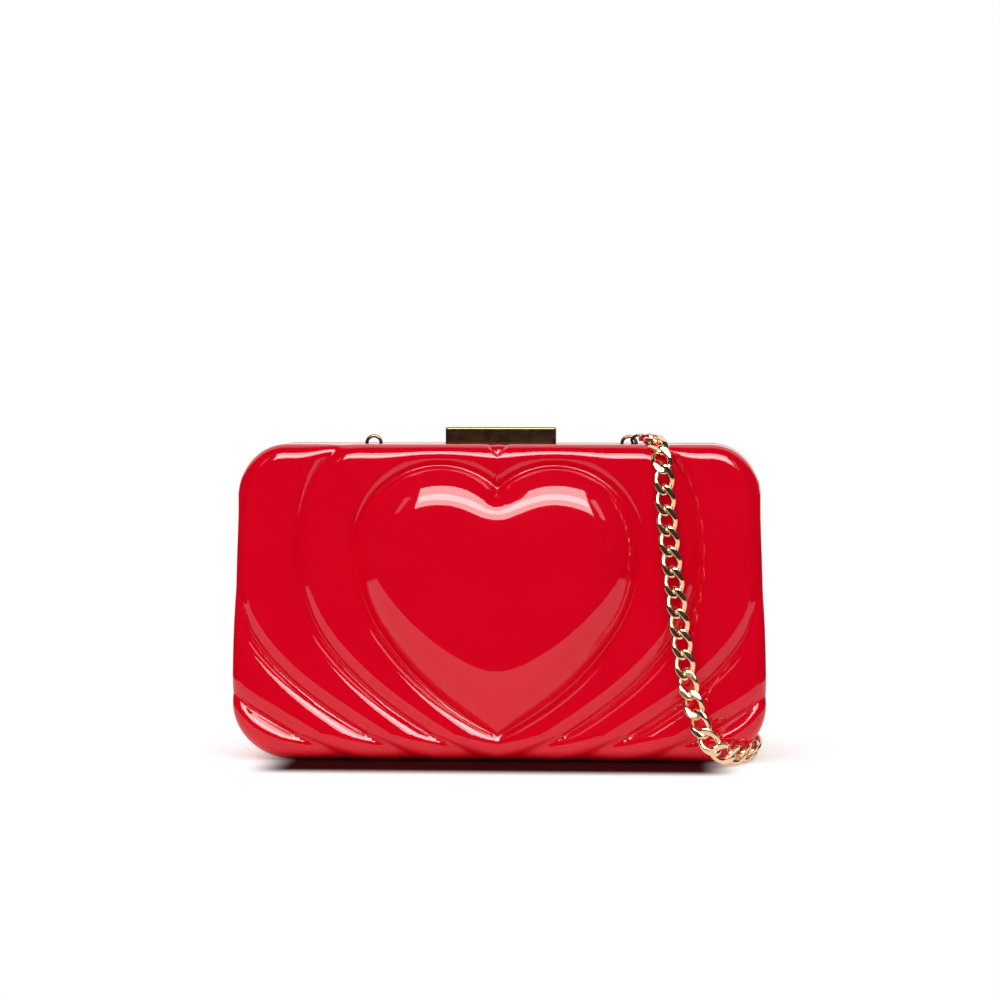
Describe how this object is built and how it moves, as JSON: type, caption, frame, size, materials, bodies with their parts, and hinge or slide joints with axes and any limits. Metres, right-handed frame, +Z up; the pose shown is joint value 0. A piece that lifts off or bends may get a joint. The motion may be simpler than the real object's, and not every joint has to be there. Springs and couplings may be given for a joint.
{
  "type": "hard-shell clutch purse",
  "caption": "Hard-shell clutch purse: two glossy moulded halves with a raised heart and heart waves, hinged below, with a sprung clasp bar and a curb-chain strap that ends in a snap hook.",
  "frame": {"origin": "on the surface that the purse stands on, under the middle of the seam between its halves", "axes": "+X to the right as seen from the front, -Y towards the front, +Z up"},
  "size_m": [0.1902, 0.1105, 0.1198],
  "materials": {
    "red_lacquer": "glossy red lacquer on a moulded shell",
    "gold_plate": "polished pale gold plating",
    "chain_gold": "polished pale gold plating",
    "steel": "plain steel",
    "lining": "black satin over card"
  },
  "bodies": {
    "back_half": {"back_shell": "red_lacquer", "back_frame": "gold_plate", "back_lining": "lining", "hinge_back_leaf": "gold_plate", "hinge_pin": "steel", "back_hinge_rivets": "gold_plate", "clasp_base": "gold_plate", "clasp_pin": "steel", "clasp_spring": "steel", "clasp_rivets": "gold_plate", "ring_eye_left": "gold_plate", "chain_back": "chain_gold", "chain_turn": "chain_gold", "hook_body": "gold_plate", "hook_pin": "steel"},
    "front_half": {"front_shell": "red_lacquer", "front_frame": "gold_plate", "front_lining": "lining", "hinge_front_leaf": "gold_plate", "front_hinge_rivets": "gold_plate", "catch_plate": "gold_plate", "catch_rivets": "gold_plate", "ring_eye_right": "gold_plate", "jump_ring": "gold_plate", "chain_front": "chain_gold"},
    "clasp": {"clasp_bar": "gold_plate"},
    "strap_gate": {"hook_gate": "gold_plate"}
  },
  "joints": [
    {"name": "purse_open", "type": "hinge", "parent": "back_half", "child": "front_half", "pos_m": [0, 0, 0.0017], "axis": [1, 0, 0], "range_deg": [0, 60], "deforming": ["chain_turn"]},
    {"name": "clasp_press", "type": "hinge", "parent": "back_half", "child": "clasp", "pos_m": [0, 0.0015, 0.1147], "axis": [-1, 0, 0], "range_deg": [0, 14], "stiffness_Nm_per_rad": 0.02},
    {"name": "gate_open", "type": "hinge", "parent": "back_half", "child": "strap_gate", "pos_m": [-0.0565, 0.0362, 0.00301], "axis": [-0.1228, 0, 0.9924], "range_deg": [0, 25], "stiffness_Nm_per_rad": 0.0003}
  ]
}
